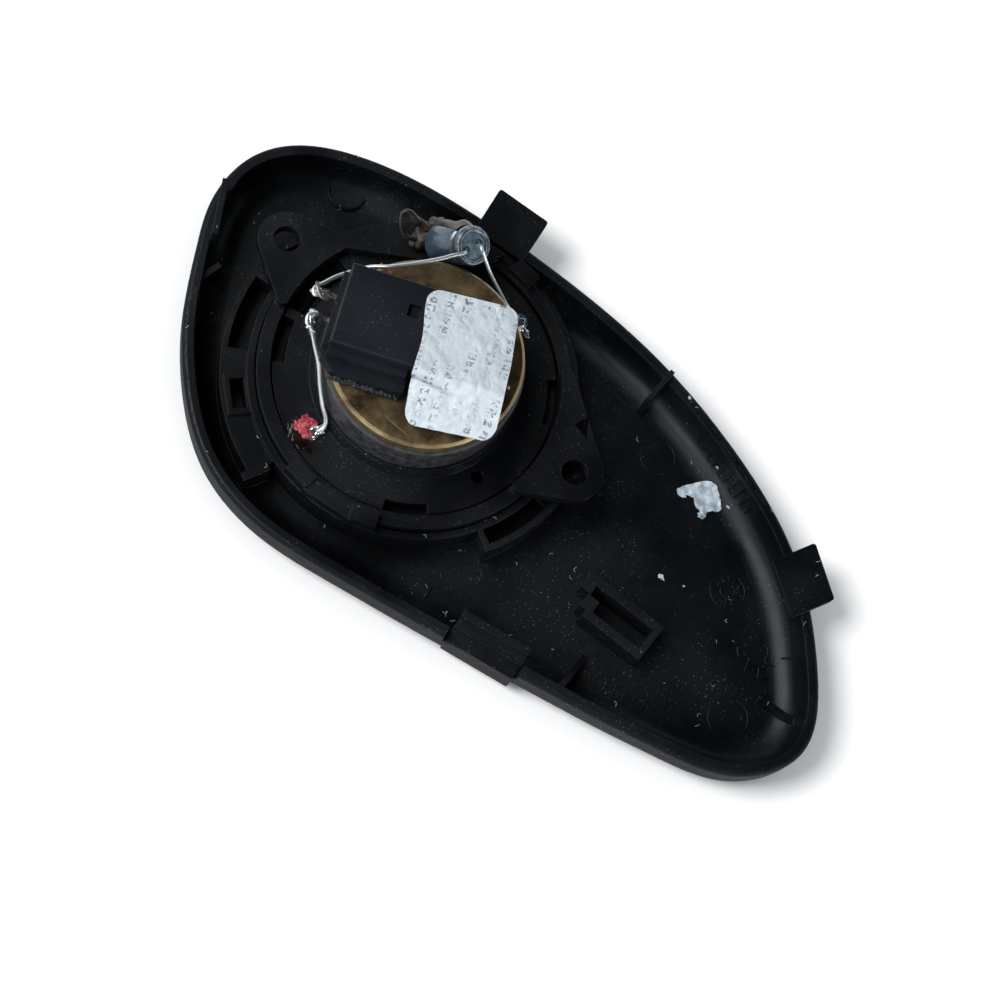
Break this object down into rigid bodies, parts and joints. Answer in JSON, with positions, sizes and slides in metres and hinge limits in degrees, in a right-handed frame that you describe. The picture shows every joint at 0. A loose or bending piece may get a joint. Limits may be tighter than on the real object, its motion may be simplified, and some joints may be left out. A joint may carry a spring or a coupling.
{
  "type": "car tweeter in a door trim cover",
  "caption": "Dome tweeter with ring magnet, plug socket and series capacitor, held by an eared ring in an egg-shaped black trim cover.",
  "frame": {"origin": "middle of the bounding box, on the plane of the flat front that the part lies on", "axes": "+X along the cover towards its narrow end, +Z out of the back"},
  "size_m": [0.1292, 0.0708, 0.027],
  "materials": {
    "cover_plastic": "moulded, fine grain",
    "ring_plastic": "moulded, satin",
    "flange_plastic": "moulded, satin",
    "connector_plastic": "moulded, satin",
    "acoustic_cloth": "open weave",
    "foam": "open-cell foam",
    "diaphragm_film": "thermoformed film",
    "former_film": "clear brown film",
    "coil_wire": "enamelled copper",
    "plated_steel": "yellow-passivated zinc plate",
    "ferrite": "ground ferrite",
    "felt": "felt",
    "tinned_metal": "tinned",
    "can_aluminium": "drawn can",
    "bung_rubber": "moulded",
    "sleeve_film": "shrunk film",
    "hot_glue": "clear hot-melt",
    "label_paper": "matt paper"
  },
  "bodies": {
    "frame": {"trim_cover": "cover_plastic", "mounting_ring": "ring_plastic", "acoustic_cloth": "acoustic_cloth", "foam_gasket": "foam", "tweeter_flange": "flange_plastic", "surround": "diaphragm_film", "top_plate": "plated_steel", "ferrite_magnet": "ferrite", "back_plate": "plated_steel", "damping_felt": "felt", "connector_housing": "connector_plastic", "connector_pins": "tinned_metal", "capacitor_can": "can_aluminium", "capacitor_bung": "bung_rubber", "capacitor_sleeve": "sleeve_film", "capacitor_lead_long": "tinned_metal", "capacitor_lead_short": "tinned_metal", "jumper_wire": "tinned_metal", "lead_out_strips": "coil_wire", "flange_terminals": "tinned_metal", "hot_glue": "hot_glue", "rear_label": "label_paper", "torn_label": "label_paper"},
    "diaphragm": {"dome": "diaphragm_film", "coil_former": "former_film", "voice_coil": "coil_wire"}
  },
  "joints": [
    {"name": "diaphragm_travel", "type": "slide", "parent": "frame", "child": "diaphragm", "axis": [0, 0, 1], "range_m": [-0.0003, 0.0003], "stiffness_N_per_m": 1000, "deforming": ["surround"]}
  ]
}
